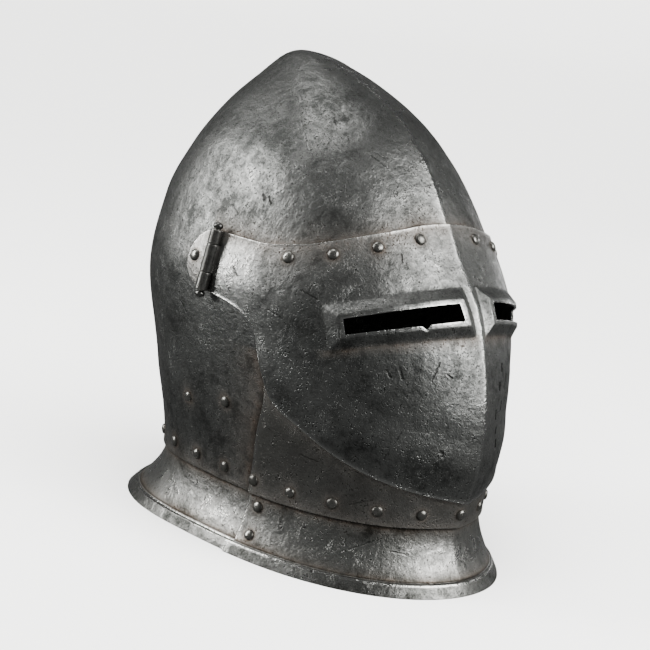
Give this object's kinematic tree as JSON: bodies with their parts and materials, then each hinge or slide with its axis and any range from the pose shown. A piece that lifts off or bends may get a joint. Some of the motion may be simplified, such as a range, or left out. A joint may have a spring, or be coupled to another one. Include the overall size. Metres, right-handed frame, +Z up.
{
  "type": "great bascinet helmet",
  "caption": "Steel full helmet: pointed creased skull, riveted bevor, flared collar in two plates and a pointed visor with raised sights that swings open on a side hinge.",
  "frame": {"origin": "middle of the whole helmet's box, on the plane of the rim's underside", "axes": "+Z up through the skull, -Y the way the wearer looks, -X the wearer's right, where the hinge is"},
  "size_m": [0.2546, 0.3282, 0.3616],
  "materials": {
    "skull_steel": "hammered and aged bare steel, worn bright over the crease",
    "visor_steel": "aged bare steel, worn bright on the ridge and round the sights",
    "bevor_steel": "darkened bare steel with scratches",
    "collar_steel": "aged bare steel with a turned band, rusty in the corners",
    "hinge_steel": "dark oily steel, rubbed on the barrels",
    "rivet_steel": "hammered rivet heads, rust round the edge"
  },
  "bodies": {
    "helmet": {"skull": "skull_steel", "bevor": "bevor_steel", "collar_front": "collar_steel", "collar_back": "collar_steel", "hinge_leaf": "hinge_steel", "hinge_pin": "hinge_steel", "latch_stud": "rivet_steel", "neck_rivet_01": "rivet_steel", "neck_rivet_02": "rivet_steel", "neck_rivet_03": "rivet_steel", "neck_rivet_04": "rivet_steel", "neck_rivet_05": "rivet_steel", "neck_rivet_06": "rivet_steel", "neck_rivet_07": "rivet_steel", "neck_rivet_08": "rivet_steel", "neck_rivet_09": "rivet_steel", "neck_rivet_10": "rivet_steel", "neck_rivet_11": "rivet_steel", "neck_rivet_12": "rivet_steel", "neck_rivet_13": "rivet_steel", "neck_rivet_14": "rivet_steel", "neck_rivet_15": "rivet_steel", "neck_rivet_16": "rivet_steel", "neck_rivet_17": "rivet_steel", "neck_rivet_18": "rivet_steel", "neck_rivet_19": "rivet_steel", "neck_rivet_20": "rivet_steel", "neck_rivet_21": "rivet_steel", "neck_rivet_22": "rivet_steel", "neck_rivet_23": "rivet_steel", "neck_rivet_24": "rivet_steel", "side_rivet_right_1": "rivet_steel", "side_rivet_right_2": "rivet_steel", "side_rivet_left_1": "rivet_steel", "side_rivet_left_2": "rivet_steel", "seam_rivet_right_1": "rivet_steel", "seam_rivet_right_2": "rivet_steel", "seam_rivet_left_1": "rivet_steel", "seam_rivet_left_2": "rivet_steel", "leaf_rivet": "rivet_steel"},
    "visor": {"visor": "visor_steel", "visor_rivet_right_1": "rivet_steel", "visor_rivet_right_2": "rivet_steel", "visor_rivet_right_3": "rivet_steel", "visor_rivet_right_4": "rivet_steel", "visor_rivet_left_1": "rivet_steel", "visor_rivet_left_2": "rivet_steel", "visor_rivet_left_3": "rivet_steel", "visor_rivet_left_4": "rivet_steel"}
  },
  "joints": [
    {"name": "visor_swing", "type": "hinge", "parent": "helmet", "child": "visor", "pos_m": [-0.11883, 0.0247, 0.20827], "axis": [-0.1747, 0, -0.9846], "range_deg": [0, 110]}
  ]
}
